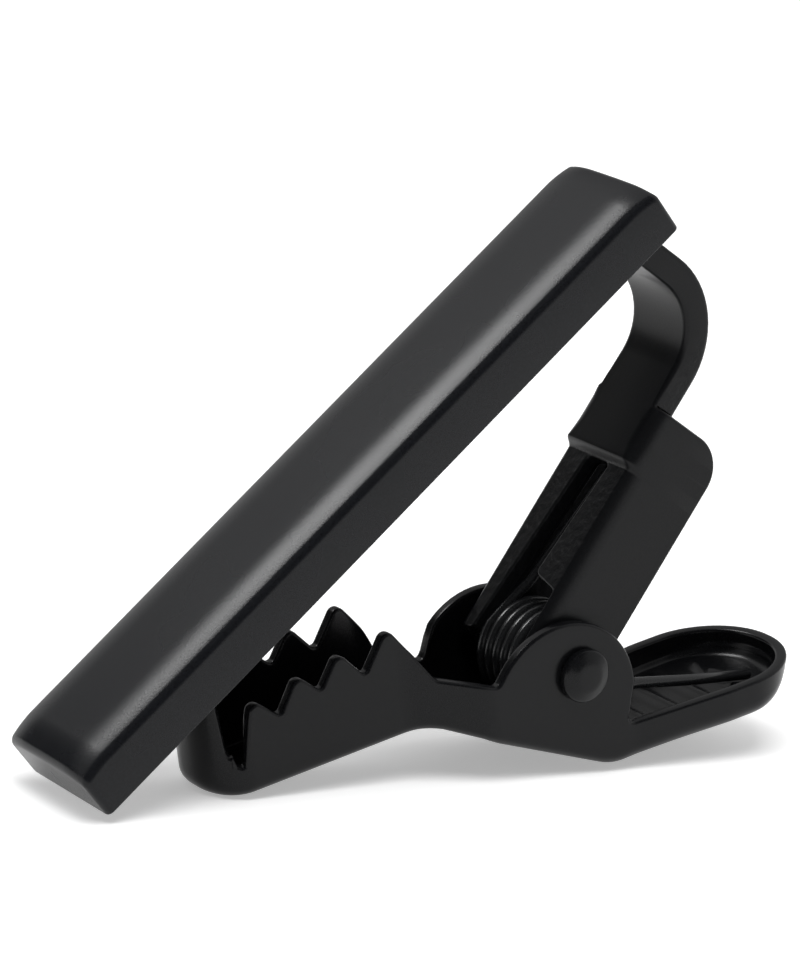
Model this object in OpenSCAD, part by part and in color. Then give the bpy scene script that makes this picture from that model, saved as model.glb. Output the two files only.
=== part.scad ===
// Tie clip with a sprung, toothed jaw behind a plain front bar.
// The clip lies as it does when set down: on the bar's lower edge and the jaw's heel.
// In the clip's own frame X runs along the bar, Z points out of the bar's front face
// and Y runs across the bar, with the front face at Z = 0 and the bar's free end at X = 0.

/* [Front bar] */
// Length of the bar
bar_len = 38; // [34:0.5:44]
// Width of the bar
bar_w = 6.9; // [6.4:0.05:8]
// Thickness of the bar at its middle
bar_t = 2.72; // [2.2:0.02:3.4]
// Rise of the crowned front face from its long edges to its middle
crown = 0.15; // [0.1:0.05:0.5]
// Rounding of the bar's four corners in plan
bar_corner_r = 0.3; // [0.2:0.1:1]
// Rounding of the long front edges
bar_edge_r = 0.3; // [0.2:0.1:0.8]
// Rounding of the front edges at the two ends
bar_end_r = 0.2; // [0.2:0.05:0.8]

/* [Hinge] */
// Distance from the bar's free end to the hinge axis
pin_x = 21.5; // [21:0.25:23]
// Distance from the bar's back face to the hinge axis
pin_drop = 13.56; // [13:0.02:14.5]
// Radius of the pin's shank
pin_r = 1.15; // [0.8:0.05:1.3]
// Radius of the pin's two heads
head_r = 1.36; // [1.35:0.01:1.7]
// Height of a head above the ear
head_h = 0.7; // [0.6:0.05:1]
// Rounding of a head's rim
head_edge_r = 0.4; // [0.1:0.05:0.5]
// Play between the pin and the holes of the arm
pin_play = 0.05; // [0.02:0.01:0.1]
// Play between the arm's cheeks and the jaw's ears, each side
side_play = 0.3; // [0.05:0.01:0.4]

/* [Arm] */
// Angle between the arm and the bar
arm_angle = 16; // [14:0.5:18]
// Thickness of the arm's channel
arm_sheet = 0.9; // [0.7:0.05:1]
// Thickness of the neck
neck_t = 1.24; // [1:0.02:1.4]
// Width of the neck
neck_w = 4; // [3.4:0.1:4.6]
// Bend radius on the inside of the neck
neck_bend_r = 3; // [2:0.1:3.2]
// Distance along the arm from the hinge axis to the inside of the neck's stem
stem_reach = 17.35; // [16:0.05:17.5]
// Width of the arm's channel over its cheeks
channel_w = 5.36; // [5.2:0.02:5.8]
// Distance from the hinge axis to the front face of the arm's web
web_rise = 3.42; // [3.3:0.02:3.6]
// Step from the web down to the two lips beside the window
lip_step = 0.46; // [0.3:0.02:0.6]
// Distance from the hinge axis to the cheeks' rear edge
cheek_drop = 1.6; // [1.4:0.1:2]
// Distance along the arm from the hinge axis to the shoulders
shoulder_reach = 12.45; // [12:0.05:13]
// Rounding of the shoulders' rear corner
shoulder_r = 1.8; // [1:0.1:2.4]
// Radius of the cheeks' round end about the hinge axis
cheek_end_r = 2.5; // [2.3:0.05:2.6]
// Rounding of the channel's long front edges
channel_edge_r = 0.85; // [0.5:0.05:0.9]
// Distance along the arm from the hinge axis to the window's upper end
window_reach = 9.15; // [8.5:0.05:9.5]
// Width of the window at its upper end
window_w = 2; // [1.8:0.05:2.2]
// Width of the window at the hinge
window_low_w = 1.5; // [1.3:0.05:1.8]
// Sideways shift of the window at the hinge
window_shift = 0.55; // [0:0.05:0.6]
// Distance along the arm from the hinge axis to the lips' lower end
lip_reach = 2.2; // [2.1:0.05:2.6]

/* [Jaw] */
// Angle between the jaw's floor and the bar when shut
jaw_angle = 28.9; // [28:0.1:29.5]
// Thickness of the jaw
jaw_sheet = 0.6; // [0.5:0.05:0.8]
// Distance from the hinge axis to the front of the nose
nose_reach = 19.4; // [19:0.1:19.5]
// Width of the jaw along its teeth
nose_w = 4.8; // [4.6:0.1:5.2]
// Rounding of the nose in plan
nose_r = 2.2; // [1.5:0.05:2.25]
// Rounding from the nose into the floor
toe_r = 1.2; // [1:0.1:2.6]
// Depth of the front floor below the hinge axis
floor_drop = 0.4; // [0.2:0.05:0.5]
// Distance from the hinge axis to the start of the floor's slope
slope_start = 7.9; // [7.5:0.1:8.3]
// Distance from the hinge axis to the heel's corner
heel_reach = 1.4; // [1:0.1:1.8]
// Depth of the heel below the hinge axis
heel_drop = 5.25; // [5:0.05:5.5]
// Rounding of the heel
heel_r = 3; // [2:0.1:3.5]
// Rounding between the front floor and the slope
slope_r = 4; // [2:0.5:6]
// Radius of an ear
ear_r = 4; // [3.8:0.05:4.2]
// Play between the nose's lip and the bar's back
lip_play = 0.12; // [0.05:0.01:0.3]
// Width of the folded lip
nose_lip_w = 3.6; // [3:0.1:3.8]
// Height of the nose's closed cup above the hinge axis
cup_rise = 0.9; // [0.6:0.1:1.2]
// Distance from the hinge axis to the side walls' front edge
wall_reach = 17.6; // [17.4:0.05:17.7]

/* [Teeth] */
// Number of teeth on each wall
tooth_count = 4; // [2:1:4]
// Distance between two teeth
tooth_pitch = 2.52; // [2.3:0.02:2.52]
// Depth of the notch between two teeth
tooth_h = 1.55; // [1.2:0.05:1.7]
// Rounding of a tooth's tip
tooth_tip_r = 0.4; // [0.2:0.05:0.4]
// Rounding between two teeth
tooth_root_r = 0.2; // [0.1:0.05:0.25]
// Fall of the row of teeth toward the nose
tooth_fall = 8.8; // [8:0.2:10]

/* [Thumb dish] */
// Distance from the hinge axis to the dish's end
dish_reach = 13.4; // [13:0.1:14]
// Width of the dish
dish_w = 8.1; // [7.6:0.1:8.8]
// Rounding of the dish's end in plan
dish_end_r = 3.6; // [3:0.1:3.7]
// Height of the dish's rim over its underside
rim_h = 1.85; // [1.6:0.05:2]
// Rounding of the dish's end seen from the side
dish_curl_r = 2.6; // [1.5:0.1:2.6]
// Number of grip ribs
rib_count = 4; // [1:1:4]
// Distance between two grip ribs
rib_pitch = 1.83; // [1.5:0.01:1.85]
// Height of a grip rib
rib_h = 0.15; // [0.05:0.01:0.2]

/* [Spring] */
// Thickness of the wire
wire_d = 0.42; // [0.38:0.01:0.44]
// Outer radius of the coil
coil_r = 2.6; // [2.4:0.05:2.65]
// Full turns of the coil
turns = 3; // [2:1:3]
// Play at the two sides of the coil
coil_play = 0.06; // [0.03:0.01:0.1]

/* [Hidden] */
$fn = 96;

// Steps of one rounded corner, and overrun of cuts past a face
arc_steps = 8;
over = 1;

// Widths that follow from what the pieces enclose
pin_z = -(bar_t + pin_drop);
ear_gap = channel_w + 2 * side_play;
ear_w = ear_gap + 2 * jaw_sheet;
channel_inside = channel_w - 2 * arm_sheet;

// Crown of the bar: radius of the arc over the bar's width
crown_r = (pow(bar_w / 2, 2) + pow(crown, 2)) / (2 * crown);

// Arm: the lips' front face and the taper from the shoulders to the neck
lip_rise = web_rise - lip_step;
lip_end_r = 0.3;
shoulder_taper = 0.6;
neck_fillet_r = 0.5;

// Solder round the foot of the neck
solder_h = 0.45;
solder_spread = 0.5;
solder_top_spread = 0.06;

// Jaw: places along the side view
ear_x = -1.2;
ear_z = -1.4;
dish_end_slope = 66;
dish_end_x = dish_reach - rim_h / tan(dish_end_slope);
rim_z = rim_h - heel_drop;
rim_notch_r = 0.5;
ear_foot = [-4.6, 0.75];
tooth_back_foot = [-7.15, 1.75];
tooth_back_r = 0.9;
first_tip = [-9.48, 5.08];
tooth_lean_share = 0.53;
lip_slot_r = 0.3;
nose_lip_depth = 1.8;
jaw_clear_top = 7;

// Jaw: plan of the flare from the teeth to the ears and on to the dish
flare_start = 8.8;
flare_end = 5.2;
flare_r = 3;
dish_start = 2.8;
dish_full = dish_reach - 5.4;
dish_side_r = 5;

// Grip ribs pressed through the dish's floor, the last one this far from the dish's end
rib_r = 0.35;
rib_to_end = 3.31;
rib_w_share = 0.86;

// Spring: places of the two legs, along the arm and along the jaw
leg_straight = 1.2;
leg_play = 0.05;
leg_lift = 0.15;
leg_window_y = window_shift + window_low_w / 2 - wire_d / 2 - leg_play;
leg_tip_reach = 10.9;
leg_tip_y = 0.6;
tail_leg_straight = 3;
tail_leg_reach = 11;
tail_leg_y = 1.3;
wire_sides = 6;
turn_rings = 8;

// Helpers for outlines whose corners are [x, y, rounding]
function xy(c) = [c.x, c.y];
function unit(v) = v / norm(v);
function left(v) = [-v.y, v.x];
function turn(q, p, s) = sign(cross(p - q, s - p));

// Points of a corner p between its neighbours q and s, rounded by r
function corner(q, p, s, r) =
    let (a = unit(q - p), b = unit(s - p))
    let (half = acos(a * b) / 2)
    let (mid = p + unit(a + b) * r / sin(half))
    let (start = p + a * r / tan(half) - mid)
    let (from = atan2(start.y, start.x), sweep = turn(q, p, s) * (180 - 2 * half))
    [for (k = [0 : arc_steps]) mid + r * [cos(from + sweep * k / arc_steps), sin(from + sweep * k / arc_steps)]];

// Closed outline with all its corners rounded
function rounded(c) =
    [for (i = [0 : len(c) - 1])
        let (q = xy(c[(i + len(c) - 1) % len(c)]), p = xy(c[i]), s = xy(c[(i + 1) % len(c)]))
        each c[i].z > 0 ? corner(q, p, s, c[i].z) : [p]];

// One corner moved by d to the left of the way the outline runs
function moved(q, p, s, r, d) =
    let (m = left(unit(p - q)), n = left(unit(s - p)))
    let (at = p + d * (m + n) / (1 + m * n))
    [at.x, at.y, r > 0 ? max(0, r - d * turn(q, p, s)) : 0];

// Closed outline moved inward by d
function inset(c, d) =
    [for (i = [0 : len(c) - 1])
        moved(xy(c[(i + len(c) - 1) % len(c)]), xy(c[i]), xy(c[(i + 1) % len(c)]), c[i].z, d)];

// Open path moved to its left by d
function beside(c, d) =
    let (last = len(c) - 1)
    let (a = xy(c[0]) + d * left(unit(xy(c[1]) - xy(c[0]))))
    let (b = xy(c[last]) + d * left(unit(xy(c[last]) - xy(c[last - 1]))))
    [[a.x, a.y, 0],
     for (i = [1 : last - 1]) moved(xy(c[i - 1]), xy(c[i]), xy(c[i + 1]), c[i].z, d),
     [b.x, b.y, 0]];

function reversed(c) = [for (i = [len(c) - 1 : -1 : 0]) c[i]];
function mirrored(c) = concat([for (p = c) [p.x, -p.y, p.z]], reversed(c));

// Side views are drawn in X and Z and drawn out across the clip
module across(w) {
    rotate([90, 0, 0]) linear_extrude(w, center = true) children();
}

// Sections are drawn in Y and Z and drawn out along X
module along(from, to) {
    translate([from, 0, 0]) rotate([90, 0, 90]) linear_extrude(to - from) children();
}

// A round pin or bore across the clip, through the frame's origin
module round_across(r, w) {
    rotate([90, 0, 0]) cylinder(r = r, h = w, center = true);
}

// Rest position: the corner of the bar's back and the round heel both touch the ground
function turned(p, angle) = [p.x * cos(angle) - p.y * sin(angle), p.x * sin(angle) + p.y * cos(angle)];
slope_angle = atan2(heel_drop - floor_drop, slope_start + heel_reach);
heel_centre = [heel_reach, -heel_drop]
    + heel_r / cos(slope_angle / 2) * [sin(slope_angle / 2), cos(slope_angle / 2)];
heel = [pin_x, pin_z] + turned(heel_centre, -jaw_angle);
heel_from_corner = heel + [0, bar_t];
rest_tilt = asin(heel_r / norm(heel_from_corner)) - atan2(heel_from_corner.y, heel_from_corner.x);
low_z = turned([0, -bar_t], rest_tilt).y;
left_x = bar_end_r * (cos(rest_tilt) + sin(rest_tilt) - 1);
right_x = turned([pin_x, pin_z] + turned([dish_reach, rim_z], -jaw_angle), rest_tilt).x;

module at_rest() {
    translate([-(left_x + right_x) / 2, 0, -low_z]) rotate([0, -rest_tilt, 0]) children();
}

// Frame of a lever on the hinge axis: X runs along the lever, Z toward the bar
module on_hinge(angle) {
    translate([pin_x, 0, pin_z]) rotate([0, -angle, 0]) children();
}

// Front bar: a crowned rectangle, square at its ends
bar_section = [[-bar_w / 2, -bar_t, 0], [bar_w / 2, -bar_t, 0], [bar_w / 2, 0, bar_edge_r],
               [-bar_w / 2, 0, bar_edge_r]];
bar_plan = mirrored([[0, bar_w / 2, bar_corner_r], [bar_len, bar_w / 2, bar_corner_r]]);
bar_side = [[0, -bar_t, 0], [bar_len, -bar_t, 0], [bar_len, 0, bar_end_r], [0, 0, bar_end_r]];

module front_bar() {
    color("#3c3f45") at_rest() intersection() {
        along(0, bar_len) intersection() {
            polygon(rounded(bar_section));
            translate([0, -crown_r]) circle(crown_r, $fn = 360);
        }
        translate([0, 0, -bar_t - over]) linear_extrude(bar_t + 2 * over) polygon(rounded(bar_plan));
        across(bar_w + over) polygon(rounded(bar_side));
    }
}

// Arm: a channel round the spring, whose web narrows to a neck bent up to the bar
neck_path = [[shoulder_reach - shoulder_taper, web_rise, 0],
             [stem_reach, web_rise, neck_bend_r],
             [stem_reach, pin_drop, 0]];
neck_plan = mirrored([[shoulder_reach - shoulder_taper, channel_w / 2 - channel_edge_r / 2, 0],
                      [shoulder_reach, channel_w / 2 - channel_edge_r / 2, neck_fillet_r / 2],
                      [shoulder_reach + shoulder_taper, neck_w / 2, neck_fillet_r],
                      [stem_reach + neck_t + over, neck_w / 2, 0]]);
neck_side = concat(reversed(beside(neck_path, -neck_t)), neck_path);

// The neck before its foot is trimmed to the bar's back
module neck() {
    intersection() {
        across(channel_w) polygon(rounded(neck_side));
        linear_extrude(pin_drop) polygon(rounded(neck_plan));
    }
}

channel_side = [[-sqrt(pow(cheek_end_r, 2) - pow(cheek_drop, 2)), -cheek_drop, 0],
                [shoulder_reach, -cheek_drop, shoulder_r],
                [shoulder_reach, web_rise, 0],
                [window_reach + lip_step, web_rise, lip_end_r / 2],
                [window_reach, lip_rise, lip_end_r / 2],
                [lip_reach, lip_rise, lip_end_r],
                [lip_reach - lip_end_r, cheek_end_r, 0],
                [0, cheek_end_r, 0]];

// Section of the channel whose front face lies at the given height
module channel_section(rise) {
    difference() {
        polygon(rounded([[-channel_w / 2, -cheek_end_r - over, 0], [channel_w / 2, -cheek_end_r - over, 0],
                         [channel_w / 2, rise, channel_edge_r], [-channel_w / 2, rise, channel_edge_r]]));
        translate([-channel_inside / 2, -cheek_end_r - 2 * over])
            square([channel_inside, cheek_end_r + 2 * over + rise - arm_sheet]);
    }
}

module channel() {
    intersection() {
        union() {
            along(-cheek_end_r, window_reach + lip_step) channel_section(lip_rise);
            along(window_reach, shoulder_reach) channel_section(web_rise);
        }
        across(channel_w + over) {
            polygon(rounded(channel_side));
            circle(cheek_end_r);
        }
    }
}

// The window tapers from the web to the hinge, where it opens over the coil
window_plan = [[window_reach, window_w / 2], [window_reach, -window_w / 2],
               [lip_reach, window_shift - window_low_w / 2], [lip_reach, -channel_inside / 2],
               [-cheek_end_r - over, -channel_inside / 2], [-cheek_end_r - over, channel_inside / 2],
               [lip_reach, channel_inside / 2], [lip_reach, window_shift + window_low_w / 2]];

module arm() {
    color("#2b2c30") at_rest() difference() {
        on_hinge(arm_angle) difference() {
            union() {
                channel();
                neck();
            }
            linear_extrude(web_rise + over) polygon(window_plan);
            round_across(pin_r + pin_play, channel_w + over);
        }
        translate([0, -channel_w, -bar_t]) cube([bar_len, 2 * channel_w, pin_drop]);
    }
}

// Solder round the foot: a low bead with sloping sides that the neck stands in
function stem_at_back(reach) =
    pin_x + (reach - pin_drop * sin(arm_angle)) / cos(arm_angle);
foot_from = stem_at_back(stem_reach);
foot_to = stem_at_back(stem_reach + neck_t);

module bead(from, to) {
    polygon([[from - solder_spread, -bar_t], [to + solder_spread, -bar_t],
             [to + solder_top_spread, -bar_t - solder_h], [from - solder_top_spread, -bar_t - solder_h]]);
}

module solder_fillet() {
    color("#232427") at_rest() difference() {
        intersection() {
            across(bar_w) bead(foot_from, foot_to);
            along(0, bar_len) bead(-neck_w / 2, neck_w / 2);
        }
        on_hinge(arm_angle) neck();
    }
}

// Jaw: one stamping with a folded lip, toothed walls, two ears and a thumb dish
jaw_plan = mirrored([[-nose_reach, nose_w / 2, nose_r],
                     [-flare_start, nose_w / 2, flare_r],
                     [-flare_end, ear_w / 2, flare_r],
                     [dish_start, ear_w / 2, dish_side_r],
                     [dish_full, dish_w / 2, dish_side_r],
                     [dish_reach, dish_w / 2, dish_end_r]]);
jaw_underside = [[-nose_reach, jaw_clear_top, 0],
                 [-nose_reach, -floor_drop, toe_r],
                 [-slope_start, -floor_drop, slope_r],
                 [heel_reach, -heel_drop, heel_r],
                 [dish_end_x, -heel_drop, dish_curl_r],
                 [dish_end_x + (heel_drop + jaw_clear_top) / tan(dish_end_slope), jaw_clear_top, 0]];

// The row of teeth runs from the first tip toward the nose
row = -[cos(tooth_fall), sin(tooth_fall)];
root_step = tooth_lean_share * tooth_pitch * row + tooth_h * [sin(tooth_fall), -cos(tooth_fall)];
teeth = [for (k = [0 : tooth_count - 1])
    let (tip = first_tip + k * tooth_pitch * row)
    let (root = tip + root_step)
    each [[tip.x, tip.y, tooth_tip_r], if (k < tooth_count - 1) [root.x, root.y, tooth_root_r]]];
last_tip = first_tip + (tooth_count - 1) * tooth_pitch * row;
wall_front_z = last_tip.y - tooth_h * (wall_reach + last_tip.x) / (tooth_lean_share * tooth_pitch);
wall_edge = concat([[dish_reach + over, -heel_drop - over, 0],
                    [dish_reach + over, rim_z, 0],
                    [ear_x + ear_r, rim_z, rim_notch_r],
                    [ear_x + ear_r, ear_z, 0],
                    [ear_x, ear_z, 0],
                    [ear_foot.x, ear_foot.y, 0],
                    [tooth_back_foot.x, tooth_back_foot.y, tooth_back_r]],
                   teeth,
                   [[-wall_reach, wall_front_z, tooth_tip_r],
                    [-wall_reach, cup_rise, lip_slot_r],
                    [-nose_reach - over, cup_rise, 0],
                    [-nose_reach - over, -heel_drop - over, 0]]);

// The folded sheet before its walls are trimmed
module jaw_shell() {
    difference() {
        intersection() {
            translate([0, 0, -heel_drop]) linear_extrude(heel_drop + jaw_clear_top)
                polygon(rounded(jaw_plan));
            across(2 * dish_w) polygon(rounded(jaw_underside));
        }
        intersection() {
            translate([0, 0, -heel_drop]) linear_extrude(heel_drop + jaw_clear_top + over)
                polygon(rounded(inset(jaw_plan, jaw_sheet)));
            across(2 * dish_w) polygon(rounded(beside(jaw_underside, jaw_sheet)));
        }
    }
}

// The lip stops just short of the bar's back
module nose_lip() {
    lean = tan(jaw_angle);
    back = (pin_drop - lip_play) / cos(jaw_angle);
    intersection() {
        jaw_shell();
        across(nose_lip_w) polygon([[-nose_reach - over, -floor_drop - over],
                                    [nose_lip_depth - nose_reach, -floor_drop - over],
                                    [nose_lip_depth - nose_reach, back + (nose_lip_depth - nose_reach) * lean],
                                    [-nose_reach - over, back - (nose_reach + over) * lean]]);
    }
}

module ribs(rise) {
    for (k = [0 : rib_count - 1])
        translate([dish_reach - rib_to_end - k * rib_pitch, 0, rise]) round_across(rib_r, rib_w_share * ear_w - jaw_sheet);
}

module jaw() {
    color("#2b2c30") at_rest() on_hinge(-jaw_angle) difference() {
        union() {
            intersection() {
                jaw_shell();
                across(2 * dish_w) {
                    polygon(rounded(wall_edge));
                    translate([ear_x, ear_z]) circle(ear_r);
                }
            }
            nose_lip();
            ribs(jaw_sheet - heel_drop + rib_h - rib_r);
        }
        ribs(-heel_drop + rib_h - rib_r);
        round_across(pin_r, 2 * dish_w);
    }
}

// Hinge pin: a rivet closed over both ears
module hinge_pin() {
    color("#33343a") at_rest() on_hinge(0) {
        round_across(pin_r, ear_w);
        for (side = [0, 1]) mirror([0, side, 0])
            translate([0, ear_w / 2, 0]) rotate([-90, 0, 0]) rotate_extrude()
                polygon(rounded([[0, 0, 0], [head_r, 0, 0], [head_r, head_h, head_edge_r], [0, head_h, 0]]));
    }
}

// Spring: one wire from the tip behind the web, round the pin and along the dish
coil_mid_r = coil_r - wire_d / 2;
coil_y = (channel_inside - wire_d) / 2 - coil_play;
coil_from = 90 + arm_angle;
coil_to = 270 - jaw_angle + 360 * turns;
rings = round((coil_to - coil_from) / 360 * turn_rings);
leg_tip_rise = lip_rise - arm_sheet - wire_d - leg_play;
dish_leg_z = jaw_sheet - heel_drop + wire_d / 2 + leg_play;
function on_lever(angle, p) = let (q = turned([p.x, p.z], angle)) [q.x, p.y, q.y];
wire = concat([on_lever(arm_angle, [leg_tip_reach, leg_tip_y, leg_tip_rise]),
               on_lever(arm_angle, [lip_reach, leg_window_y, coil_mid_r + leg_lift]),
               on_lever(arm_angle, [leg_straight, coil_y, coil_mid_r])],
              [for (k = [0 : rings])
                  let (a = coil_from + (coil_to - coil_from) * k / rings)
                  [coil_mid_r * cos(a), coil_y * (1 - 2 * k / rings), coil_mid_r * sin(a)]],
              [on_lever(-jaw_angle, [tail_leg_straight, -coil_y, -coil_mid_r]),
               on_lever(-jaw_angle, [tail_leg_reach, -tail_leg_y, dish_leg_z])]);

// Least distance between stretches of the wire that don't follow each other
function ways(p, n) = [for (i = [0 : len(p) - 2]) for (k = [0 : n - 1]) p[i] + (p[i + 1] - p[i]) * k / n];
fine_wire = ways(wire, 4);
apart = turn_rings * 4 / 2;
wire_gap = min([for (i = [0 : len(fine_wire) - 1 - apart]) for (j = [i + apart : len(fine_wire) - 1])
    norm(fine_wire[i] - fine_wire[j])]) - wire_d;
echo(least_gap_of_the_wire_to_itself = wire_gap);

function wire_ring(p, i) =
    let (before = p[max(i - 1, 0)], after = p[min(i + 1, len(p) - 1)])
    let (way = unit(i == 0 || i == len(p) - 1 ? after - before : unit(p[i] - before) + unit(after - p[i])))
    let (side = unit(cross(way, [0, 1, 0])), up = cross(side, way))
    [for (k = [0 : wire_sides - 1])
        p[i] + wire_d / 2 * (cos(360 * k / wire_sides) * side + sin(360 * k / wire_sides) * up)];

module swept(p) {
    n = wire_sides;
    last = len(p) - 1;
    polyhedron([for (i = [0 : last]) each wire_ring(p, i)],
               concat([[for (k = [0 : n - 1]) k]],
                      [for (i = [0 : last - 1]) for (k = [0 : n - 1])
                          let (m = (k + 1) % n)
                          each [[i * n + k, (i + 1) * n + k, i * n + m],
                                [i * n + m, (i + 1) * n + k, (i + 1) * n + m]]],
                      [[for (k = [n - 1 : -1 : 0]) last * n + k]]));
}

module torsion_spring() {
    color("#4a4c52") at_rest() on_hinge(0) swept(wire);
}

front_bar();
arm();
solder_fillet();
jaw();
hinge_pin();
torsion_spring();
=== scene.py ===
import bpy
import bmesh
from bisect import bisect_left
from math import acos, atan2, cos, pi, radians, sin, sqrt, tan
from mathutils import Matrix, Vector, noise


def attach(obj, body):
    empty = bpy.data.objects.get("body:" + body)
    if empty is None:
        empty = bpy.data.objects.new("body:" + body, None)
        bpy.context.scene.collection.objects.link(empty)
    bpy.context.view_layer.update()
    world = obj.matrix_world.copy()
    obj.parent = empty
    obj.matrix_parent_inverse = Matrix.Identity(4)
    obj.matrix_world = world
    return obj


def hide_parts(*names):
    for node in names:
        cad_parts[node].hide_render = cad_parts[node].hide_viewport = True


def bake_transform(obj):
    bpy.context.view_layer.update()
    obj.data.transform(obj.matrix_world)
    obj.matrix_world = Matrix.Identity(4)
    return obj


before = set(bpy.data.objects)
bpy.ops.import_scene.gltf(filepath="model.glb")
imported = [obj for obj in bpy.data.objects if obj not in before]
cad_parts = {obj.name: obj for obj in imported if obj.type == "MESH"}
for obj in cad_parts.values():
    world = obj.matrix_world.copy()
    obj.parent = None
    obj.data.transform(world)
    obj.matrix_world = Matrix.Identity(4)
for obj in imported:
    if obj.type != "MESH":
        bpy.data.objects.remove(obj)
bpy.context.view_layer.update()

# Front bar
# A plain steel bar, almost flat across its front, whose edges are rolled down softly. It is plated
# satin black all over, and the arm is soldered to its back.

# Sizes are in millimetres. At rest the clip's own frame is turned by rest_tilt and moved by rest_shift.
mm = 0.001
rest_tilt = radians(42.82605118)
rest_shift = Vector((-20.37116695, 0, 1.99490474))
bar_length = 38
bar_width = 6.9
bar_thickness = 2.72
bar_corner_round = 0.32
bar_front_round = 0.33
bar_back_round = 0.1
bar_crown = 0.1
bar_roll = 0.3
bar_roll_width = 1.9
bar_end_roll = 0.29
bar_end_roll_width = 1.8
bar_strips = 46
end_strips = 13
end_strip_width = 0.125
round_steps = 8
small_round_steps = 4
grain_stops = (0.3, 0.7)
grain_shades = (0.75, 1.25)
drift_scale = 260
sheen_spread = 0.03


def clip_place(along, across, out):
    """Point of the clip at rest, from its own frame in which the bar lies flat, in metres."""
    x = along * cos(rest_tilt) - out * sin(rest_tilt)
    z = along * sin(rest_tilt) + out * cos(rest_tilt)
    return (Vector((x, across, z)) + rest_shift) * mm


def round_edges(mesh, edges, radius, segments, clamp=False):
    """Rounds the given edges."""
    bmesh.ops.bevel(mesh, geom=edges, offset=radius, offset_type="OFFSET", affect="EDGES",
                    segments=segments, profile=0.5, material=-1, clamp_overlap=clamp)


def cut_strips(mesh, axis, places, near=0):
    """Cuts the mesh by planes square to the axis, so that it can be curved there."""
    for place in places:
        bmesh.ops.bisect_plane(mesh, geom=mesh.verts[:] + mesh.edges[:] + mesh.faces[:],
                               plane_co=axis * place, plane_no=axis, dist=near)


def finished_piece(name, mesh, slot, body, *nodes):
    """Turns a bmesh in metres into a smooth-shaded piece that rides on its body."""
    data = bpy.data.meshes.new(name)
    bmesh.ops.recalc_face_normals(mesh, faces=mesh.faces)
    mesh.to_mesh(data)
    mesh.free()
    for face in data.polygons:
        face.use_smooth = True
    piece = bpy.data.objects.new(name, data)
    bpy.context.scene.collection.objects.link(piece)
    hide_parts(*nodes)
    if body:
        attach(piece, body)
    return piece


def node_with(tree, kind, values):
    """Adds a node whose named inputs hold the given values."""
    node = tree.nodes.new(kind)
    for name, value in values.items():
        node.inputs[name].default_value = value
    return node


def black_finish(name, colour, grain_size, grain_depth, roughness, gloss):
    """Black finish: a fine grain in its surface and its shade, and a slow drift in its roughness."""
    finish = bpy.data.materials.new(name)
    finish.use_nodes = True
    tree = finish.node_tree
    shader = tree.nodes["Principled BSDF"]
    place = tree.nodes.new("ShaderNodeTexCoord")
    grain = node_with(tree, "ShaderNodeTexNoise", {"Scale": 1 / (grain_size * mm), "Detail": 3})
    tree.links.new(place.outputs["Object"], grain.inputs["Vector"])
    drift = node_with(tree, "ShaderNodeTexNoise", {"Scale": drift_scale, "Detail": 2})
    tree.links.new(place.outputs["Object"], drift.inputs["Vector"])
    bump = node_with(tree, "ShaderNodeBump", {"Strength": 1, "Distance": grain_depth * mm})
    tree.links.new(grain.outputs["Fac"], bump.inputs["Height"])
    tree.links.new(bump.outputs["Normal"], shader.inputs["Normal"])
    shade = tree.nodes.new("ShaderNodeValToRGB")
    for stop, position, share in zip(shade.color_ramp.elements, grain_stops, grain_shades):
        stop.position = position
        stop.color = [part * share for part in colour] + [1]
    tree.links.new(grain.outputs["Fac"], shade.inputs["Fac"])
    tree.links.new(shade.outputs["Color"], shader.inputs["Base Color"])
    sheen = node_with(tree, "ShaderNodeMapRange",
                      {"To Min": roughness - sheen_spread, "To Max": roughness + sheen_spread})
    tree.links.new(drift.outputs["Fac"], sheen.inputs["Value"])
    tree.links.new(sheen.outputs["Result"], shader.inputs["Roughness"])
    shader.inputs["Specular IOR Level"].default_value = gloss
    return finish


def rolled_bar():
    """The bar: a block with rounded edges, cut into strips, its front rolled down toward its edges."""
    mesh = bmesh.new()
    bmesh.ops.create_cube(mesh, size=1)
    bmesh.ops.scale(mesh, vec=(bar_length, bar_width, bar_thickness), verts=mesh.verts)
    bmesh.ops.translate(mesh, vec=(bar_length / 2, 0, -bar_thickness / 2), verts=mesh.verts)
    corners = [e for e in mesh.edges if abs(e.verts[0].co.z - e.verts[1].co.z) > bar_thickness / 2]
    round_edges(mesh, corners, bar_corner_round, round_steps)
    front = [e for e in mesh.edges if min(v.co.z for v in e.verts) > -0.01]
    round_edges(mesh, front, bar_front_round, round_steps)
    back = [e for e in mesh.edges if max(v.co.z for v in e.verts) < 0.01 - bar_thickness]
    round_edges(mesh, back, bar_back_round, small_round_steps)
    cut_strips(mesh, Vector((0, 1, 0)), [bar_width * (k / bar_strips - 0.5) for k in range(1, bar_strips)])
    for k in range(1, end_strips + 1):
        from_end = end_strip_width * k
        cut_strips(mesh, Vector((1, 0, 0)), (from_end, bar_length - from_end))
    for v in mesh.verts:
        if v.co.z > -bar_thickness / 2:
            from_edge = bar_width / 2 - abs(v.co.y)
            from_end = min(v.co.x, bar_length - v.co.x)
            fall = bar_crown * (2 * v.co.y / bar_width) ** 2 - bar_crown
            fall += bar_roll * max(0, 1 - from_edge / bar_roll_width) ** 2
            fall += bar_end_roll * max(0, 1 - from_end / bar_end_roll_width) ** 2
            v.co.z -= fall
    for v in mesh.verts:
        v.co = clip_place(*v.co)
    return mesh


bar_plating = black_finish("satin_black_bar", (0.0065, 0.007, 0.0085), 0.11, 0.004, 0.27, 0.215)
bar = finished_piece("rolled_front_bar", rolled_bar(), "bar_black", "front", "front_bar")
bar.data.materials.append(bar_plating)

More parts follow.
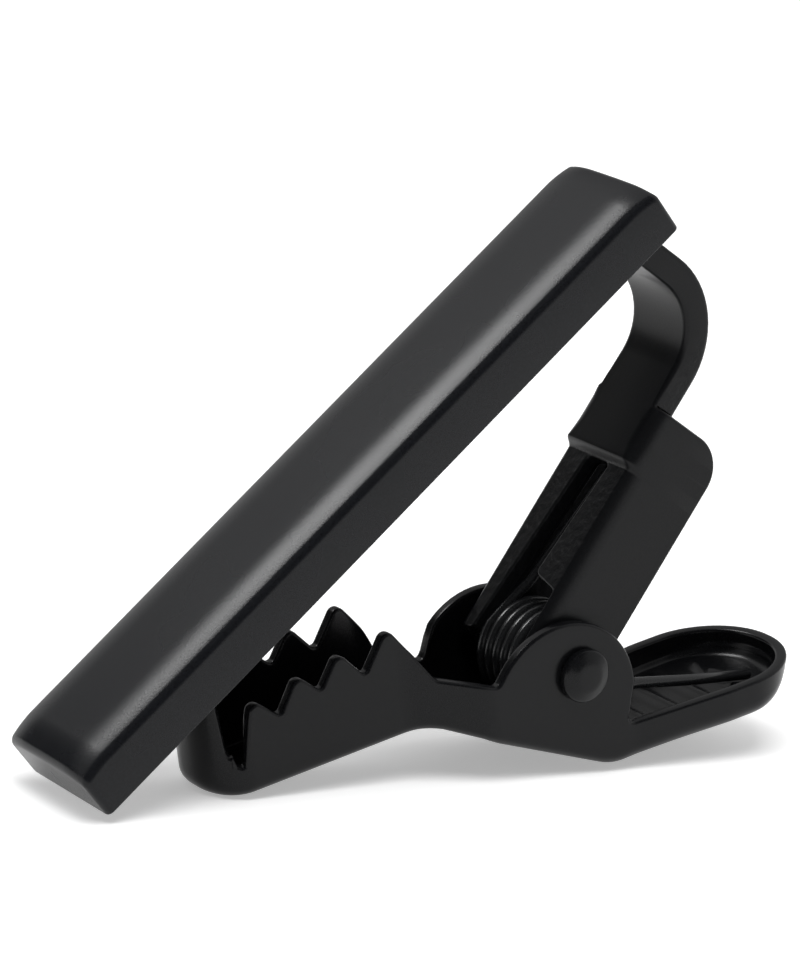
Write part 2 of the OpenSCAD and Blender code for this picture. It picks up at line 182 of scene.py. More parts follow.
# Arm
# One stamped and folded piece of steel sheet: a channel round the spring, open at the back, whose web has
# a window and two sunk lips, and narrows to a neck bent up to the bar. It is plated black, as is the rest
# of the back.

hinge = (21.5, 16.28)
arm_slant = radians(16)
arm_sheet = 0.9
neck_sheet = 1.38
rim_round = 0.2
web_rise = 3.42
lip_rise = 2.96
channel_half = 2.68
fold = 0.85
fold_tall = 0.95
lip_fold = 0.5
inner_fold_slack = 0.08
cheek_back = -1.6
cheek_stretch = 2.6
window_top = 9.15
window_step = 0.46
fold_growth = 1.6
shoulder = 12.45
neck_half = 2.16
neck_thick_start = shoulder - 1.2
neck_fold_start = shoulder - 1
neck_fold_end = shoulder - 0.05
neck_fold_half = neck_half + 0.04
neck_start = shoulder + 0.3
neck_rim_more = 0.16
neck_rim_growth = 1.3
bend_start = 14.35
bend_radius = 3
bend_end = bend_start + bend_radius * pi / 2
stem_length = 2.75
stem_end = 13.56
foot_sink = 0.05


def on_lever(slant, reach, across, rise):
    """Point on a lever of the hinge, from its distance along the lever and its rise toward the bar."""
    x = hinge[0] + reach * cos(slant) - rise * sin(slant)
    z = -hinge[1] + reach * sin(slant) + rise * cos(slant)
    return clip_place(x, across, z)


def eased(x, start, end):
    """0 before start, 1 after end, and a smooth rise between them."""
    t = min(1, max(0, (x - start) / (end - start)))
    return t * t * (3 - 2 * t)


def rounded_path(corners, step, closed=False):
    """Points along a line whose corners are (x, y, rounding), no further apart than step on its roundings."""
    points = []
    count = len(corners)
    for i, (x, y, r) in enumerate(corners):
        here = Vector((x, y))
        if r == 0 or (not closed and i in (0, count - 1)):
            points.append(here)
            continue
        before = (Vector(corners[i - 1][:2]) - here).normalized()
        after = (Vector(corners[(i + 1) % count][:2]) - here).normalized()
        half = acos(max(-1, min(1, before.dot(after)))) / 2
        centre = here + (before + after).normalized() * r / sin(half)
        start = here + before * r / tan(half) - centre
        sweep = pi - 2 * half
        if before.x * after.y - before.y * after.x > 0:
            sweep = -sweep
        pieces = max(3, round(abs(sweep) * r / step))
        for k in range(pieces + 1):
            angle = sweep * k / pieces
            points.append(centre + Vector((start.x * cos(angle) - start.y * sin(angle),
                                           start.x * sin(angle) + start.y * cos(angle))))
    return points


def arm_blank():
    """Outline of the arm's flat blank: along the arm, and across it as if its cheeks were unfolded."""
    flat = channel_half - fold + fold * pi / 2 + web_rise - fold
    back = flat - cheek_back
    neck_top = bend_end + stem_length
    widened = (channel_half - fold) / (channel_half - lip_fold)
    cheek = [(shoulder, back, 1.8), (-2, back, 0.6), (-2.3, flat, 1.2), (-0.95, flat - 2, 0.7)]
    near_lip = [(-0.6, 1.9, 0.3), (2.6, 1.85, 0.3), (3, 0.35 * widened, 0.4),
                (window_top, 0.92 * widened, 0.25)]
    far_lip = [(window_top, -0.73 * widened, 0.25), (-0.6, -1.58 * widened, 0.3)]
    near = [(neck_top, neck_half, 0.2), (shoulder, neck_half, 0.15)] + cheek + near_lip
    far = far_lip + [(x, -y, r) for x, y, r in reversed(cheek)]
    far += [(shoulder, -neck_half, 0.15), (neck_top, -neck_half, 0.2)]
    return rounded_path(near + far, 0.12, closed=True)


def channel_point(along, across, depth):
    """Distance from the middle and rise of a point of the blank, when the cheeks are folded down."""
    rise = web_rise - (web_rise - lip_rise) * (1 - eased(along, window_top, window_top + window_step))
    wide = lip_fold + (fold - lip_fold) * eased(along, window_top, window_top + fold_growth)
    flat = channel_half - fold
    flat_y = channel_half - wide - max(0, depth - wide - inner_fold_slack)
    turned = (across - flat) / fold
    if turned <= 0:
        return across * flat_y / flat, rise - depth
    if turned < pi / 2:
        y = flat_y + (channel_half - depth - flat_y) * sin(turned)
        return y, rise - depth - (fold_tall - depth) * (1 - cos(turned))
    down = across - flat - fold * pi / 2
    top = rise - fold_tall
    if down < cheek_stretch:
        return channel_half - depth, top - down * max(0, 1 + (top - web_rise + fold) / cheek_stretch)
    return channel_half - depth, web_rise - fold - down


def folded_arm(v):
    """Takes a point of the flat blank to its place on the folded arm."""
    along, across, depth = v
    side = -1 if across > 0 else 1
    across = abs(across)
    edge = neck_half - across
    if along > neck_start and edge < rim_round and depth < arm_sheet / 2:
        grown = rim_round + neck_rim_more * eased(along, neck_start, neck_start + neck_rim_growth)
        across = neck_half - edge * grown / rim_round
    depth *= 1 + (neck_sheet / arm_sheet - 1) * eased(along, neck_thick_start, shoulder)
    y, rise = channel_point(along, across, depth)
    if across < neck_fold_half:
        unfolded = eased(along, neck_fold_start, neck_fold_end)
        y += (across - y) * unfolded
        rise += (web_rise - depth - rise) * unfolded
    reach = along
    if along > bend_start:
        below = web_rise - rise
        angle = min((along - bend_start) / bend_radius, pi / 2)
        reach = bend_start + (bend_radius + below) * sin(angle)
        rise = web_rise + bend_radius - (bend_radius + below) * cos(angle)
    if along > bend_end:
        top = (stem_end + foot_sink - reach * sin(arm_slant)) / cos(arm_slant)
        rise += (top - rise) * min(1, (along - bend_end) / stem_length)
    return on_lever(arm_slant, reach, side * y, rise)


def bent_arm():
    """The arm: its blank is cut out, its edges are rounded, and it is cut into strips and folded."""
    mesh = bmesh.new()
    outline = [mesh.verts.new((p.x, p.y, 0)) for p in arm_blank()]
    plate = mesh.faces.new(outline)
    pressed = bmesh.ops.extrude_face_region(mesh, geom=[plate])
    moved = [v for v in pressed["geom"] if isinstance(v, bmesh.types.BMVert)]
    bmesh.ops.translate(mesh, vec=(0, 0, arm_sheet), verts=moved)
    bmesh.ops.remove_doubles(mesh, verts=mesh.verts, dist=0.0001)
    rims = [e for e in mesh.edges if abs(e.verts[0].co.z - e.verts[1].co.z) < 0.01]
    round_edges(mesh, rims, rim_round, small_round_steps, clamp=True)
    flat = channel_half - fold
    cuts_across = [flat + fold * pi / 2 * k / 8 for k in range(9)] + [flat + fold * pi / 2 + 1.5]
    cuts_along = [window_top + window_step * k / 10 for k in range(11)]
    cuts_along += [window_top + 0.6 + 0.2 * k for k in range(6)]
    cuts_along += [neck_fold_start + 0.15 * k for k in range(14)]
    cuts_along += [bend_start + bend_radius * pi / 2 * k / 16 for k in range(17)]
    both_sides = [side * y for y in cuts_across for side in (-1, 1)]
    cut_strips(mesh, Vector((0, 1, 0)), both_sides, near=0.00001)
    cut_strips(mesh, Vector((1, 0, 0)), cuts_along, near=0.00001)
    for v in mesh.verts:
        v.co = folded_arm(v.co)
    return mesh


def math_result(tree, operation, *values):
    """Result of a math node that is fed with sockets or plain numbers."""
    node = tree.nodes.new("ShaderNodeMath")
    node.operation = operation
    for socket, value in zip(node.inputs, values):
        if isinstance(value, bpy.types.NodeSocket):
            tree.links.new(value, socket)
        else:
            socket.default_value = value
    return node.outputs[0]


# Inside the channel, under the web and between the cheeks, the gloss is nearly cut off. This is painted shade
# that makes the recess read dark. The sunk lips are uneven from the press.
back_black = (0.0045, 0.0047, 0.0054)
back_gloss = 0.19
# Painted shade: the gloss left inside the channel, and the half width and rise of that shaded recess.
painted_shade_gloss = 0.02
painted_shade_half = 1.95
painted_shade_rise = 2.3
uneven_half = 2.35
uneven_rise = 3.05
blotch_size = 0.42
blotch_depth = 0.05
back_plating = black_finish("black_back", back_black, 0.09, 0.003, 0.24, back_gloss)
arm_plating = black_finish("black_arm", back_black, 0.09, 0.003, 0.33, back_gloss)
tree = arm_plating.node_tree
shader = tree.nodes["Principled BSDF"]
grain_bump = shader.inputs["Normal"].links[0].from_node
place = tree.nodes.new("ShaderNodeTexCoord")
parts = tree.nodes.new("ShaderNodeSeparateXYZ")
tree.links.new(place.outputs["Object"], parts.inputs[0])
toward_bar = (on_lever(arm_slant, 0, 0, 1) - on_lever(arm_slant, 0, 0, 0)) / mm
hinge_level = on_lever(arm_slant, 0, 0, 0).dot(toward_bar)
level_node = tree.nodes.new("ShaderNodeVectorMath")
level_node.operation = "DOT_PRODUCT"
level_node.inputs[1].default_value = toward_bar
tree.links.new(place.outputs["Object"], level_node.inputs[0])
level = level_node.outputs["Value"]
from_middle = math_result(tree, "ABSOLUTE", parts.outputs["Y"])
# Painted shade: under the web and between the cheeks the gloss falls almost to nothing, so this recess reads
# dark.
between_cheeks = math_result(tree, "LESS_THAN", from_middle, painted_shade_half * mm)
under_web = math_result(tree, "LESS_THAN", level, hinge_level + painted_shade_rise * mm)
gloss = node_with(tree, "ShaderNodeMapRange", {"To Min": back_gloss, "To Max": painted_shade_gloss})
tree.links.new(math_result(tree, "MULTIPLY", between_cheeks, under_web), gloss.inputs["Value"])
tree.links.new(gloss.outputs["Result"], shader.inputs["Specular IOR Level"])
near_middle = math_result(tree, "LESS_THAN", from_middle, uneven_half * mm)
under_lips = math_result(tree, "LESS_THAN", level, hinge_level + uneven_rise * mm)
blotches = node_with(tree, "ShaderNodeTexNoise", {"Scale": 1 / (blotch_size * mm), "Detail": 4})
tree.links.new(place.outputs["Object"], blotches.inputs["Vector"])
uneven = node_with(tree, "ShaderNodeBump", {"Distance": blotch_depth * mm})
tree.links.new(math_result(tree, "MULTIPLY", near_middle, under_lips), uneven.inputs["Strength"])
tree.links.new(blotches.outputs["Fac"], uneven.inputs["Height"])
tree.links.new(uneven.outputs["Normal"], grain_bump.inputs["Normal"])
arm = finished_piece("folded_arm", bent_arm(), "clip_black", "front", "arm")
arm.data.materials.append(arm_plating)
even_arm = arm.modifiers.new("even_shading", "WEIGHTED_NORMAL")
even_arm.keep_sharp = True

# Solder
# A low bead of soft solder that ran out round the foot of the neck and holds it to the bar's back. It
# was plated black with the clip.

foot_from = 35.661
foot_to = 36.951
bead_levels = ((0.55, -0.03), (0.5, 0.04), (0.36, 0.11), (0.22, 0.2), (0.12, 0.31), (0.06, 0.42),
               (-0.1, 0.47))
bead_sides = 72
foot_squareness = 6
squareness_loss = 2.6
bead_wave = 0.22
wave_count = 2.2
wave_start = 3.1


def solder_bead():
    """The bead: a ring round the foot, drawn up to the neck in a hollow curve that is a little uneven."""
    mesh = bmesh.new()
    ring = bmesh.ops.create_circle(mesh, cap_ends=True, segments=bead_sides, radius=1)["verts"]
    rim = mesh.edges[:]
    middle = (foot_from + foot_to) / 2
    rings = [ring]
    while len(rings) < len(bead_levels):
        made = bmesh.ops.extrude_edge_only(mesh, edges=rim)["geom"]
        rings.append([g for g in made if isinstance(g, bmesh.types.BMVert)])
        rim = [g for g in made if isinstance(g, bmesh.types.BMEdge)]
    for ring, (spread, height) in zip(rings, bead_levels):
        roundness = 2 / (foot_squareness - squareness_loss * min(1, spread * 2))
        for v in ring:
            angle = atan2(v.co.y, v.co.x)
            spot = Vector((wave_count * cos(angle), wave_count * sin(angle), wave_start))
            wave = 1 + bead_wave * noise.noise(spot)
            half_x = (foot_to - foot_from) / 2 + spread * wave
            half_y = neck_half + spread * wave
            x = half_x * abs(cos(angle)) ** roundness * (1 if cos(angle) > 0 else -1)
            y = half_y * abs(sin(angle)) ** roundness * (1 if sin(angle) > 0 else -1)
            v.co = (middle + x, y, -bar_thickness - height * wave)
    bmesh.ops.contextual_create(mesh, geom=rim)
    for v in mesh.verts:
        v.co = clip_place(*v.co)
    return mesh


solder = finished_piece("solder_bead", solder_bead(), "clip_black", "front", "solder_fillet")
solder.data.materials.append(back_plating)

# Jaw
# One stamping of steel sheet 0.6 mm thick, drawn into a round-ended trough and plated black: a nose with
# a folded lip, two toothed walls, two ears that take the rivet, and a thumb dish with pressed ribs.

jaw_slant = radians(-28.9)
jaw_sheet = 0.6
nose_reach = 19.4
nose_round = 2.2
nose_half = 2.4
ear_half = 3.58
ear_middle = (-1.08, -1.3)
ear_round = 4.04
dish_start = 8
dish_reach = 13.4
dish_half = 4.05
dish_round = 3.95
dish_rim = -3.4
floor_front = -0.62
floor_waist = -0.44
floor_back = -5.25
jaw_plan = rounded_path([(-nose_reach, 0, 0), (-nose_reach, nose_half, nose_round), (-8.8, nose_half, 3),
                         (-5.2, ear_half, 3), (2.8, ear_half, 5), (dish_start, dish_half, 5),
                         (dish_reach, dish_half, dish_round), (dish_reach, 0, 0)], 0.08)
plan_lengths = [0]
for one, two in zip(jaw_plan, jaw_plan[1:]):
    plan_lengths.append(plan_lengths[-1] + (two - one).length)
plan_end = plan_lengths[-1]
plan_tip = 0.03
plan_step = 0.05


def on_plan(s):
    """Point of the trough's plan at the length s from the nose's middle, round one side to the dish's end."""
    s = min(max(s, 0), plan_end)
    k = min(max(bisect_left(plan_lengths, s), 1), len(jaw_plan) - 1)
    t = (s - plan_lengths[k - 1]) / (plan_lengths[k] - plan_lengths[k - 1])
    return jaw_plan[k - 1].lerp(jaw_plan[k], t)


def outward(s):
    """Direction that points out of the trough's wall at the length s."""
    if s < plan_tip:
        return Vector((-1, 0))
    if s > plan_end - plan_tip:
        return Vector((1, 0))
    way = on_plan(s + plan_step) - on_plan(s - plan_step)
    return Vector((-way.y, way.x)).normalized()


def length_at(x):
    """Length along the plan at which the wall stands at x."""
    k = next(i for i, p in enumerate(jaw_plan) if p.x >= x)
    t = (x - jaw_plan[k - 1].x) / max(1e-9, jaw_plan[k].x - jaw_plan[k - 1].x)
    return plan_lengths[k - 1] + t * (plan_lengths[k] - plan_lengths[k - 1])


# The wall's rim as corners: the lip and the slot by length along the plan, the rest by their place in the
# side view. Each corner has its height and its rounding.
lip_side = nose_half - nose_round + nose_round * radians(46.7)
lip_and_slot = [(0, 4.64, 0), (lip_side, 5.0, 0.35), (lip_side + 0.34, 1.75, 0.14),
                (lip_side + 0.5, 1.4, 0.08), (lip_side + 0.66, 1.46, 0.08), (lip_side + 0.84, 0.96, 0.08)]
teeth = [(-16.98, 4.03, 0.4), (-15.55, 2.71, 0.24), (-14.47, 4.35, 0.4), (-13.3, 3.2, 0.24),
         (-12.2, 4.75, 0.4), (-10.9, 3.16, 0.24), (-9.51, 5.11, 0.4)]
side_view = [(-17.7, 0.8, 0.12), (-17.24, 3.1, 0.4)] + teeth + [(-7.5, 1.92, 0.7), (-4.6, 0.82, 0.3)]
for degrees in range(144, -1, -6):
    angle = radians(degrees)
    side_view.append((ear_middle[0] + ear_round * cos(angle), ear_middle[1] + ear_round * sin(angle), 0))
side_view += [(2.36, dish_rim, 0.3), (12, dish_rim, 0)]
rim_corners = lip_and_slot + [(length_at(x), z, r) for x, z, r in side_view] + [(plan_end, dish_rim, 0)]
rim_step = 0.3
dish_rim_step = 0.13
dish_side = (3.5, 11)
dish_corner_shift = 0.55
steep_share = 0.15


def stepped_rim():
    """Points of the rim, whose gaps are filled up in even steps that are shorter along the dish's side."""
    rough = rounded_path(rim_corners, 0.09)
    points = [rough[0]]
    for p in rough[1:]:
        start = points[-1]
        gap = (p - start).length
        if gap < 0.02:
            continue
        beside_dish = length_at(dish_side[0]) < p.x < length_at(dish_side[1])
        pieces = max(1, round(gap / (dish_rim_step if beside_dish else rim_step)))
        points += [start.lerp(p, k / pieces) for k in range(1, pieces + 1)]
    return points


def column_feet(rim):
    """Length at which each column's foot stands: under its point of the rim, unless the rim is steep."""
    ends = [0]
    for i in range(1, len(rim) - 1):
        turn = (rim[i].y - rim[i - 1].y) * (rim[i + 1].y - rim[i].y)
        if turn < -0.0000001 and i - ends[-1] > 3:
            ends.append(i)
    ends.append(len(rim) - 1)
    corner = next(i for i, p in enumerate(rim) if p.x > length_at(0) and p.y < dish_rim + 0.02)
    ends = sorted(set(ends + [corner]))
    end_feet = {i: rim[i].x for i in ends}
    end_feet[corner] -= dish_corner_shift
    feet = [0] * len(rim)
    for one, two in zip(ends, ends[1:]):
        measure = [0]
        for i in range(one + 1, two + 1):
            step = rim[i] - rim[i - 1]
            measure.append(measure[-1] + abs(step.x) + steep_share * abs(step.y))
        for i in range(one, two + 1):
            feet[i] = end_feet[one] + (end_feet[two] - end_feet[one]) * measure[i - one] / measure[-1]
    return feet


rim = stepped_rim()
feet = column_feet(rim)
underside = rounded_path([(-19.5, floor_front, 0), (-7.9, floor_waist, 4), (1.4, floor_back, 3),
                          (20, floor_back, 0)], 0.1)
rib_count = 4
rib_gap = 1.83
rib_from_end = 3.31
rib_half = 0.33
rib_rise = 0.3
rib_flat = 2.35
rib_reach = 2.8


def floor_height(x, inside):
    """Height of the trough's floor at x, on its under side or its upper side."""
    k = next(i for i, p in enumerate(underside) if p.x > x)
    one, two = underside[k - 1], underside[k]
    slope = (two.y - one.y) / (two.x - one.x)
    height = one.y + slope * (x - one.x)
    return height + jaw_sheet * sqrt(1 + slope * slope) if inside else height


def rib_height(x, y):
    """Height of the grip ribs, which are pressed up through the floor."""
    height = 0
    for k in range(rib_count):
        off = abs(x - (dish_reach - rib_from_end - rib_gap * k)) / rib_half
        if off < 1:
            height = rib_rise * (1 + cos(pi * off)) / 2
    return height * (1 - eased(abs(y), rib_flat, rib_reach))


# Radius between the floor and the wall, and what the nose, the dish and the dish's end add to it.
outer_corner = (0.5, 0.57, 0.3, 1.7)
inner_corner = (0.2, 0.5, 0.2, 0.2)
dish_corner_end = 6
outer_end_lean = 1 / tan(radians(66))
inner_end_lean = 0.12
edge_round = 0.15
edge_steps = 4
corner_steps = 7
wall_shares = (0.06, 0.35, 0.7, 0.94)
floor_shares = (0, 0.3, 0.6, 0.9)


def trough_column(index):
    """Points of one column: up the outside, over the rounded rim, and down the inside."""
    top = rim[index]
    before, after = rim[max(0, index - 1)], rim[min(len(rim) - 1, index + 1)]
    way = (after - before).normalized()
    down = Vector((way.y, -way.x))
    if index in (0, len(rim) - 1):
        down = Vector((0, -1))
    foot = feet[index]
    face = outward(foot)
    corner = on_plan(foot)
    spine = Vector((min(max(corner.x, nose_round - nose_reach), dish_reach - dish_round), 0))
    at_nose = max(0, -face.x) ** 2
    at_end = max(0, face.x) ** 2 if corner.x > dish_start else 0
    outer_lean = outer_end_lean * at_end
    inner_lean = inner_end_lean * at_end
    first = top + down * edge_round

    def floor_side(inside):
        """Points from the trough's middle along its floor and up the rounded corner."""
        plain, nose_more, dish_more, end_more = inner_corner if inside else outer_corner
        in_dish = eased(corner.x, 0, dish_corner_end)
        radius = plain + nose_more * at_nose + dish_more * in_dish + end_more * at_end
        lean = inner_lean if inside else outer_lean
        steep = pi / 2 - atan2(lean, 1)
        low = floor_height(corner.x, inside)
        fall_back = lean * (dish_rim - floor_back - radius * (1 - cos(steep))) if at_end else 0
        centre = (jaw_sheet if inside else 0) + fall_back + radius * sin(steep)
        inner = corner - face * centre
        points = []
        for share in floor_shares:
            at = spine.lerp(inner, share)
            points.append((at.x, at.y, floor_height(at.x, inside) + rib_height(at.x, at.y)))
        for k in range(corner_steps + 1):
            angle = steep * k / corner_steps
            at = corner - face * (centre - radius * sin(angle))
            points.append((at.x, at.y, low + radius * (1 - cos(angle))))
        return points

    def on_wall(s, z, depth):
        """Point of the wall at the length s and height z, at a depth under its outer face."""
        back = (outer_lean if depth < jaw_sheet / 2 else inner_lean) * max(0, dish_rim - z)
        at = on_plan(s) - outward(s) * (depth + back)
        return (at.x, at.y, z)

    def wall_side(low, depth):
        """Points of the wall from the corner's top at the height low to the rim's rounding."""
        return [on_wall(foot + (first.x - foot) * share, low + (first.y - low) * share, depth)
                for share in wall_shares]

    outside = floor_side(False)
    inside = floor_side(True)
    edge = []
    for k in range(edge_steps + 1):
        angle = pi / 2 * k / edge_steps
        edge.append((edge_round * (1 - cos(angle)), edge_round * (1 - sin(angle))))
    edge += [(jaw_sheet - depth, fall) for depth, fall in reversed(edge)]
    over = []
    for depth, fall in edge:
        place = top + down * fall
        over.append(on_wall(place.x, place.y, depth))
    up = outside + wall_side(outside[-1][2], 0)
    return up + over + list(reversed(inside + wall_side(inside[-1][2], jaw_sheet)))


# The far wall's rim dips lower than the near one's behind the last tooth.
far_dip = 0.75
dip_start = (-8.3, -6.4)
dip_end = (-4.6, -3.7)
dip_foot = (-0.3, 1.2)


def stamped_jaw():
    """The jaw: a flat grid whose columns are stood up round one half of the trough, and mirrored."""
    columns = [trough_column(i) for i in range(len(rim))]
    wide, high = len(columns) - 1, len(columns[0]) - 1
    mesh = bmesh.new()
    bmesh.ops.create_grid(mesh, x_segments=wide, y_segments=high, size=1)
    for v in mesh.verts:
        x, y, z = columns[round((v.co.x + 1) / 2 * wide)][round((v.co.y + 1) / 2 * high)]
        v.co = (x, max(0, y), z)
    bmesh.ops.mirror(mesh, geom=mesh.verts[:] + mesh.edges[:] + mesh.faces[:], axis="Y", merge_dist=0.0001)
    bmesh.ops.remove_doubles(mesh, verts=mesh.verts, dist=0.0005)
    for v in mesh.verts:
        if v.co.y > 0:
            dip = eased(v.co.x, *dip_start) * (1 - eased(v.co.x, *dip_end))
            v.co.z -= far_dip * dip * eased(v.co.z, *dip_foot)
    for v in mesh.verts:
        v.co = on_lever(jaw_slant, *v.co)
    return mesh


jaw = finished_piece("stamped_jaw", stamped_jaw(), "clip_black", "jaw", "jaw")
jaw.data.materials.append(back_plating)

# Rivet
# A soft steel rivet through both ears and both cheeks, its two ends spread to low domes. It was plated
# black with the jaw.

shank = 1.1
head = 1.32
head_rise = 0.72
head_sides = 64


def domed_rivet():
    """The rivet: one outline from the middle of one dome to the middle of the other, spun round its axis."""
    mesh = bmesh.new()
    face = ear_half + head_rise
    half = [(0, face, 0), (head * 0.5, face - 0.03, 0.9), (head, face - 0.3, 0.24),
            (head - 0.06, ear_half + 0.06, 0.04), (shank, ear_half - 0.03, 0)]
    profile = [(p.x, p.y) for p in rounded_path(half, 0.05)]
    profile += [(r, -y) for r, y in reversed(profile)]
    points = [mesh.verts.new((r if r > 0.001 else 0, y, 0)) for r, y in profile]
    lines = [mesh.edges.new(pair) for pair in zip(points, points[1:])]
    bmesh.ops.spin(mesh, geom=points + lines, cent=(0, 0, 0), axis=(0, 1, 0), angle=2 * pi,
                   steps=head_sides, use_merge=True)
    bmesh.ops.remove_doubles(mesh, verts=mesh.verts, dist=0.0005)
    for v in mesh.verts:
        v.co = on_lever(0, *v.co)
    return mesh


rivet = finished_piece("domed_rivet", domed_rivet(), "clip_black", "jaw", "hinge_pin")
rivet.data.materials.append(back_plating)

# Spring
# One steel wire, plated black, wound close round the rivet between the arm's cheeks. One leg runs up
# behind the arm's web, and the other lies along the dish.

wire = 0.55
wire_sides = 14
coil_radius = 2.33
coil_side = 1.36
coil_shift = -0.05
coil_turns = 4
coil_steps = 170
coil_start = pi / 2 + arm_slant
coil_end = 1.5 * pi + jaw_slant + 2 * pi * coil_turns
arm_leg = ((10.9, 0.1, 1.66), (9.3, 0.25, 1.72), (6, 0.66, 1.74), (2.8, 1.06, 1.76), (1.5, 1.24, 2.04))
dish_leg = ((2.6, -1.42, -2.36), (4.4, -1.4, -2.6), (7.6, -1.32, -3.53), (11, -1.3, -4.34))


def spring_path():
    """Points along the middle of the wire, from the end of the arm's leg to the end of the dish's leg."""
    points = [on_lever(arm_slant, *p) for p in arm_leg]
    for k in range(coil_steps + 1):
        angle = coil_start + (coil_end - coil_start) * k / coil_steps
        y = coil_side * (1 - 2 * k / coil_steps) + coil_shift
        points.append(on_lever(0, coil_radius * cos(angle), y, coil_radius * sin(angle)))
    return points + [on_lever(jaw_slant, *p) for p in dish_leg]


def round_wire(points, thickness):
    """A round wire: a small disc whose rim is drawn out through the points, closed at both ends."""
    mesh = bmesh.new()
    last = len(points) - 1
    radius = thickness / 2 * mm
    ring = bmesh.ops.create_circle(mesh, cap_ends=True, segments=wire_sides, radius=radius)["verts"]
    rim = mesh.edges[:]
    centre, right, up = Vector(), Vector((1, 0, 0)), Vector((0, 1, 0))
    for i, p in enumerate(points):
        if i:
            made = bmesh.ops.extrude_edge_only(mesh, edges=rim)["geom"]
            ring = [g for g in made if isinstance(g, bmesh.types.BMVert)]
            rim = [g for g in made if isinstance(g, bmesh.types.BMEdge)]
        way = (points[min(i + 1, last)] - points[max(i - 1, 0)]).normalized()
        next_right = way.cross(Vector((0, 1, 0))).normalized()
        next_up = next_right.cross(way)
        for v in ring:
            off = v.co - centre
            v.co = p + next_right * off.dot(right) + next_up * off.dot(up)
        centre, right, up = p, next_right, next_up
    bmesh.ops.contextual_create(mesh, geom=rim)
    return mesh


spring_plating = black_finish("black_spring_wire", (0.012, 0.0125, 0.0135), 0.08, 0.002, 0.25, 0.4)
spring_mesh = round_wire(spring_path(), wire)
spring = finished_piece("wound_spring", spring_mesh, "spring_black", None, "torsion_spring")
spring.data.materials.append(spring_plating)
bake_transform(spring)

# Studio
# A pale floor, a room that is white near the floor and dimmer above it, with three dim patches that
# darken the clip's mirror images, and two soft lamps.

floor_level = -0.38
floor_lift = 0.36
room_low = 0.06
room_high = 0.22
room_dim = 0.72
dim_patches = (((-0.55, 0.79, 0.22), 0.955, 0.895, 0.08),
               ((-0.5, -0.6, 0.6), 0.7, 0.45, 0.12),
               ((0.5, 0.75, 0.45), 0.95, 0.87, 0.5))
lamp_aim = Vector((0, 0, 0.014))

floor_mesh = bmesh.new()
bmesh.ops.create_grid(floor_mesh, x_segments=1, y_segments=1, size=3)
floor_data = bpy.data.meshes.new("floor")
floor_mesh.to_mesh(floor_data)
floor_mesh.free()
floor = bpy.data.objects.new("floor", floor_data)
floor.location.z = floor_level * mm
bpy.context.scene.collection.objects.link(floor)

# What the camera and mirror images see of the floor is lifted to white. Its shadows stay.
floor_look = bpy.data.materials.new("pale_floor")
floor_look.use_nodes = True
tree = floor_look.node_tree
tree.nodes.clear()
ray = tree.nodes.new("ShaderNodeLightPath")
shown = math_result(tree, "MAXIMUM", ray.outputs["Is Camera Ray"], ray.outputs["Is Glossy Ray"])
shown = math_result(tree, "MAXIMUM", shown, ray.outputs["Is Transmission Ray"])
plain = node_with(tree, "ShaderNodeBsdfDiffuse", {"Color": (0.9, 0.9, 0.9, 1)})
lift = node_with(tree, "ShaderNodeEmission", {"Color": (1, 1, 1, 1)})
tree.links.new(math_result(tree, "MULTIPLY", shown, floor_lift), lift.inputs["Strength"])
both = tree.nodes.new("ShaderNodeAddShader")
tree.links.new(plain.outputs[0], both.inputs[0])
tree.links.new(lift.outputs[0], both.inputs[1])
out = tree.nodes.new("ShaderNodeOutputMaterial")
tree.links.new(both.outputs[0], out.inputs["Surface"])
floor.data.materials.append(floor_look)


def smooth_range(tree, value, low, high, at_low, at_high):
    """Result that turns smoothly from at_low to at_high while the value rises from low to high."""
    node = node_with(tree, "ShaderNodeMapRange",
                     {"From Min": low, "From Max": high, "To Min": at_low, "To Max": at_high})
    node.interpolation_type = "SMOOTHSTEP"
    tree.links.new(value, node.inputs["Value"])
    return node.outputs["Result"]


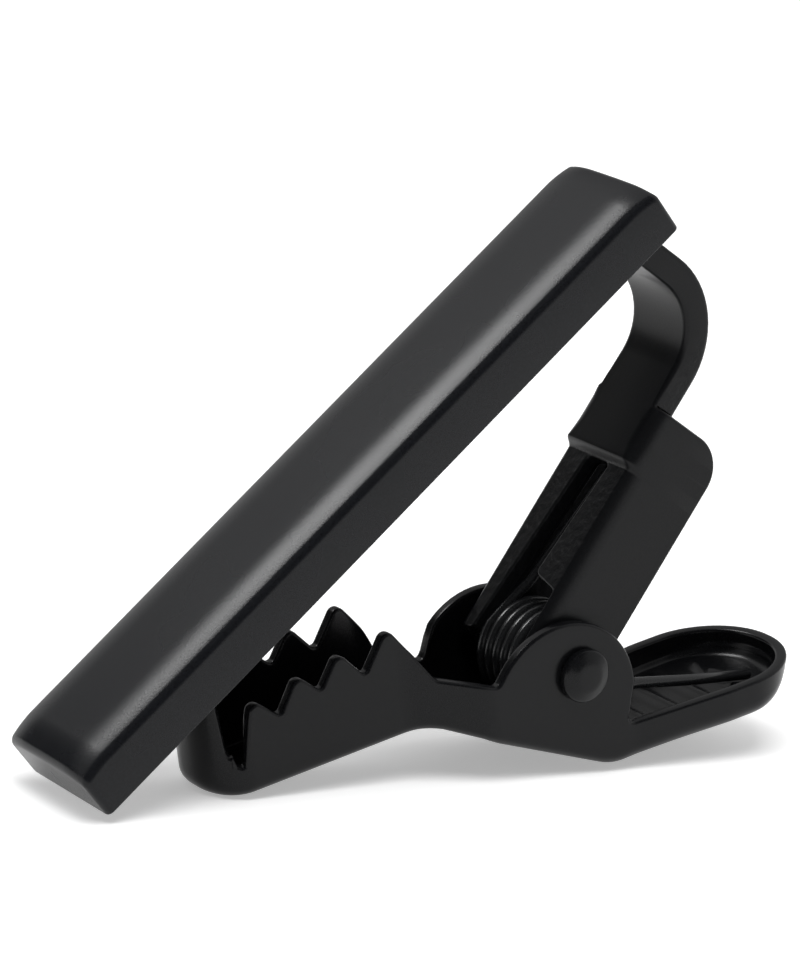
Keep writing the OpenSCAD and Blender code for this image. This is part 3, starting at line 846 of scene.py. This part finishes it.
room = bpy.data.worlds.new("room")
room.use_nodes = True
bpy.context.scene.world = room
tree = room.node_tree
tree.nodes.clear()
way_out = tree.nodes.new("ShaderNodeTexCoord")
parts = tree.nodes.new("ShaderNodeSeparateXYZ")
tree.links.new(way_out.outputs["Generated"], parts.inputs[0])
brightness = smooth_range(tree, parts.outputs["Z"], room_low, room_high, 1, room_dim)
for direction, inner, outer, share in dim_patches:
    toward = tree.nodes.new("ShaderNodeVectorMath")
    toward.operation = "DOT_PRODUCT"
    toward.inputs[1].default_value = Vector(direction).normalized()
    tree.links.new(way_out.outputs["Generated"], toward.inputs[0])
    patch = smooth_range(tree, toward.outputs["Value"], outer, inner, 1, share)
    brightness = math_result(tree, "MULTIPLY", brightness, patch)
sky = node_with(tree, "ShaderNodeBackground", {"Color": (1, 1, 1, 1)})
tree.links.new(brightness, sky.inputs["Strength"])
out = tree.nodes.new("ShaderNodeOutputWorld")
tree.links.new(sky.outputs[0], out.inputs["Surface"])


def soft_lamp(name, direction, distance, size, power):
    """A square soft lamp that faces the clip from the given direction."""
    lamp = bpy.data.lights.new(name, "AREA")
    lamp.shape = "SQUARE"
    lamp.size = size
    lamp.energy = power
    holder = bpy.data.objects.new(name, lamp)
    away = Vector(direction).normalized()
    holder.location = away * distance + lamp_aim
    holder.rotation_euler = away.to_track_quat("Z", "Y").to_euler()
    bpy.context.scene.collection.objects.link(holder)
    return holder


strip = soft_lamp("strip_lamp", (-0.4, 0.46, 0.79), 0.5, 0.15, 1.1)
strip.visible_diffuse = False
top = soft_lamp("top_lamp", (-0.3, -0.3, 1), 1, 0.62, 7.6)
top.visible_glossy = False

# Camera
# A long lens a little above the table, turned slightly, as the photograph was taken. Its place, its turn
# and its focal length, in the photograph's pixels, were worked out from the bar's corners.

focal_length = 5000
picture_height = 978
camera_place = Vector((-129.582, -182.122, 68.121))
camera_right = Vector((0.82949, -0.5499, 0.09758)).normalized()
camera_ahead = Vector((0.55584, 0.7959, -0.24018))

lens = bpy.data.cameras.new("camera")
lens.sensor_fit = "VERTICAL"
lens.sensor_height = 36
lens.lens = focal_length * lens.sensor_height / picture_height
lens.clip_start = 0.01
camera = bpy.data.objects.new("camera", lens)
camera_ahead = (camera_ahead - camera_right * camera_ahead.dot(camera_right)).normalized()
camera_up = camera_right.cross(camera_ahead)
turn = Matrix((camera_right, camera_up, -camera_ahead)).transposed().to_4x4()
camera.matrix_world = Matrix.Translation(camera_place * mm) @ turn
bpy.context.scene.collection.objects.link(camera)
bpy.context.scene.camera = camera
bpy.context.scene.view_settings.view_transform = "Standard"
